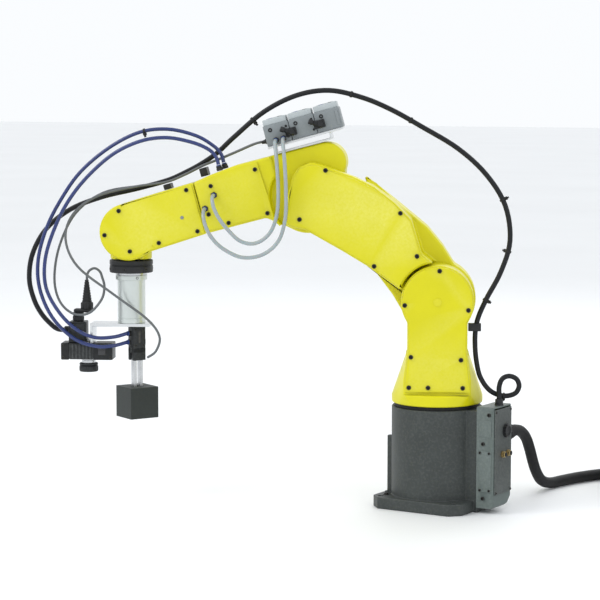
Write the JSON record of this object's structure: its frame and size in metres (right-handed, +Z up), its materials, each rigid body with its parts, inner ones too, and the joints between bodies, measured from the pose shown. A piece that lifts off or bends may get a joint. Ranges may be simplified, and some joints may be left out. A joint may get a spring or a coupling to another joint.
{
  "type": "articulated robot arm",
  "caption": "Compact articulated robot arm with yellow castings, a grey base, dress cables, an elbow valve block, a camera and a parallel gripper holding a block.",
  "frame": {"origin": "centre of the mounting face, on the first joint's axis", "axes": "+Z up along the first joint's axis, +X to the front of the base, away from its connector box, +Y to the robot's left"},
  "size_m": [1.0011, 0.7639, 0.662],
  "materials": {
    "yellow_paint": "satin powder coat",
    "dark_grey_paint": "satin textured paint",
    "grey_green_paint": "satin textured paint",
    "black_rubber": "matte jacket",
    "black_plastic": "moulded",
    "black_steel": "black oxide",
    "motor_black": "matte paint",
    "steel": "machined",
    "aluminium": "machined",
    "valve_grey": "satin",
    "clear_tube": "pale polyurethane tube",
    "lead_grey": "grey jacket",
    "camera_black": "anodised",
    "block_plastic": "printed plastic"
  },
  "bodies": {
    "base": {"base_casting": "dark_grey_paint", "connector_box": "grey_green_paint", "rear_panel": "dark_grey_paint", "rear_connectors": "aluminium", "cable_gland": "black_rubber", "robot_cable": "black_rubber", "cable_coil": "black_rubber", "cable_plug": "dark_grey_paint", "j1_motor": "motor_black", "j1_reducer": "steel", "j1_bearing": "black_rubber", "dress_socket": "black_plastic", "dress_over_j1": "black_rubber"},
    "turret": {"turret_casting": "yellow_paint", "turret_cover": "yellow_paint", "turret_screws": "black_steel", "j2_motor": "motor_black", "j2_reducer": "steel", "turret_clip": "black_plastic", "dress_over_j2": "black_rubber"},
    "upper_arm": {"upper_arm_casting": "yellow_paint", "upper_arm_cover_near": "yellow_paint", "upper_arm_cover_far": "yellow_paint", "upper_arm_screws": "black_steel", "j3_motor": "motor_black", "j3_bearing": "steel", "dress_over_j3": "black_rubber"},
    "elbow": {"elbow_housing": "yellow_paint", "elbow_cover": "yellow_paint", "elbow_screws": "black_steel", "valve_bracket": "steel", "valve_block": "valve_grey", "valve_fittings": "black_plastic", "elbow_fittings": "black_plastic", "elbow_clip": "black_plastic", "j4_drive": "motor_black", "valve_tubes": "clear_tube", "valve_leads": "lead_grey", "cables_over_j4": "black_rubber"},
    "forearm": {"forearm_casting": "yellow_paint", "forearm_cover_near": "yellow_paint", "forearm_cover_far": "yellow_paint", "forearm_screws": "black_steel", "forearm_clip": "black_plastic", "j5_motor": "motor_black", "wrist_belt": "black_rubber", "cables_over_j5": "black_rubber"},
    "wrist": {"wrist_housing": "yellow_paint", "j6_motor": "motor_black", "cables_over_j6": "black_rubber"},
    "tool": {"tool_flange": "aluminium", "extension_tube": "aluminium", "camera_bracket": "aluminium", "vision_camera": "camera_black", "camera_plugs": "black_plastic", "gripper_body": "camera_black", "work_block": "block_plastic"},
    "jaw_left": {"jaw_left": "steel"},
    "jaw_right": {"jaw_right": "steel"}
  },
  "joints": [
    {"name": "j1_swing", "type": "hinge", "parent": "base", "child": "turret", "pos_m": [0, 0, 0], "axis": [0, 0, 1], "range_deg": [-120, 120], "deforming": ["dress_over_j1"]},
    {"name": "j2_shoulder", "type": "hinge", "parent": "turret", "child": "upper_arm", "pos_m": [0, 0, 0.33], "axis": [-0.4695, 0.8829, 0], "range_deg": [-100, 18], "deforming": ["dress_over_j2"]},
    {"name": "j3_elbow", "type": "hinge", "parent": "upper_arm", "child": "elbow", "pos_m": [0.17941, 0.09539, 0.49221], "axis": [-0.4695, 0.8829, 0], "range_deg": [-50, 35], "deforming": ["dress_over_j3"]},
    {"name": "j4_forearm_roll", "type": "hinge", "parent": "elbow", "child": "forearm", "pos_m": [0.18404, 0.09786, 0.51151], "axis": [0.8521, 0.453, -0.2622], "range_deg": [-120, 120], "deforming": ["cables_over_j4"]},
    {"name": "j5_wrist_bend", "type": "hinge", "parent": "forearm", "child": "wrist", "pos_m": [0.43114, 0.22924, 0.43547], "axis": [-0.4695, 0.8829, 0], "range_deg": [-110, 25], "deforming": ["cables_over_j5"]},
    {"name": "j6_tool_roll", "type": "hinge", "parent": "wrist", "child": "tool", "pos_m": [0.43114, 0.22924, 0.43547], "axis": [0, 0, 1], "range_deg": [-120, 120], "deforming": ["cables_over_j6"]},
    {"name": "jaw_left_slide", "type": "slide", "parent": "tool", "child": "jaw_left", "axis": [0.4226, 0.9063, 0], "range_m": [-0.0025, 0]},
    {"name": "jaw_right_slide", "type": "slide", "parent": "tool", "child": "jaw_right", "axis": [-0.4226, -0.9063, 0], "range_m": [-0.0025, 0]}
  ],
  "couplings": [
    {"joint": "jaw_right_slide", "follows": "jaw_left_slide", "ratio": 1}
  ]
}
